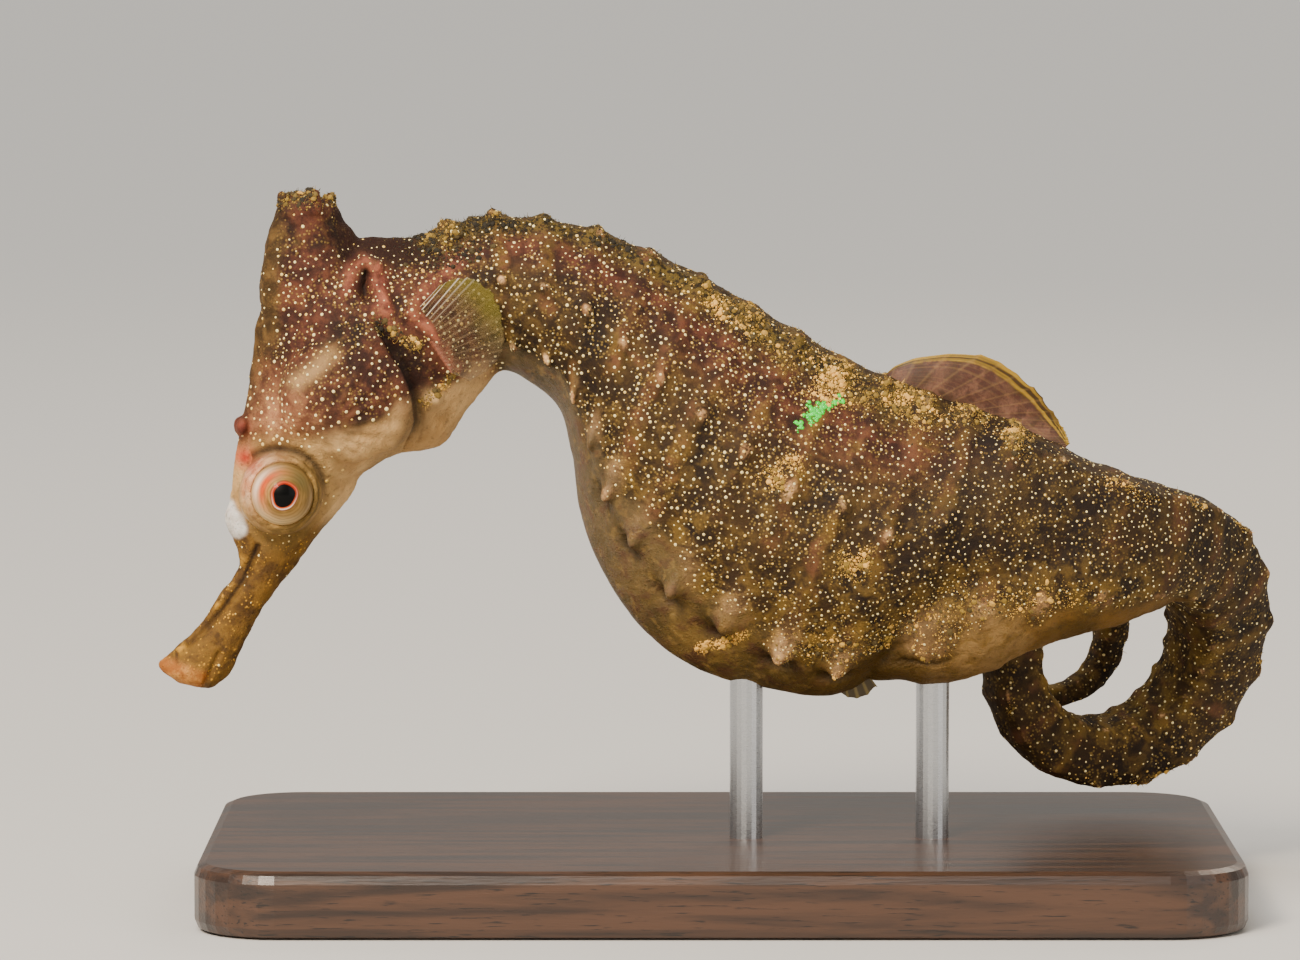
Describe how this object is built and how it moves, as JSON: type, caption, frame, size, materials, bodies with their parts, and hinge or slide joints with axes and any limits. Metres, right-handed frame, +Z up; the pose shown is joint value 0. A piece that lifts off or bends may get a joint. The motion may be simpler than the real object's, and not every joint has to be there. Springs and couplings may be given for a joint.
{
  "type": "seahorse",
  "caption": "Life-size seahorse swimming head down with a raised crown, ringed trunk and curled tail, held on a small flat display stand by short rods.",
  "frame": {"origin": "centre of the flat underside of the stand's base", "axes": "+X from the snout towards the tail, +Y towards the animal's right side, +Z up"},
  "size_m": [0.0676, 0.036, 0.0437],
  "materials": {
    "skin": "wet matt skin, dark brown and maroon, dotted with white",
    "pouch": "smooth wet skin, yellow brown",
    "fin": "thin rayed membrane, brownish yellow",
    "eye": "glossy, tan iris with an orange ring and a black pupil",
    "tag": "bright green elastomer",
    "stand_rod": "brushed",
    "stand_base": "dark satin lacquer"
  },
  "bodies": {
    "root": {"snout": "skin", "head": "skin", "coronet": "skin", "neck": "skin", "trunk_front": "skin", "trunk_middle": "skin", "trunk_rear": "skin", "tail_1": "skin", "tail_2": "skin", "tail_3": "skin", "tail_4": "skin", "tail_5": "skin", "tail_6": "skin", "pouch": "pouch", "gill_cover_left": "skin", "gill_cover_right": "skin", "eye_left": "eye", "eye_right": "eye", "pectoral_fin_left": "fin", "pectoral_fin_right": "fin", "dorsal_fin": "fin", "anal_fin": "fin", "tag_marker": "tag", "stand_rod_front": "stand_rod", "stand_rod_rear": "stand_rod", "stand_base": "stand_base"}
  },
  "joints": []
}
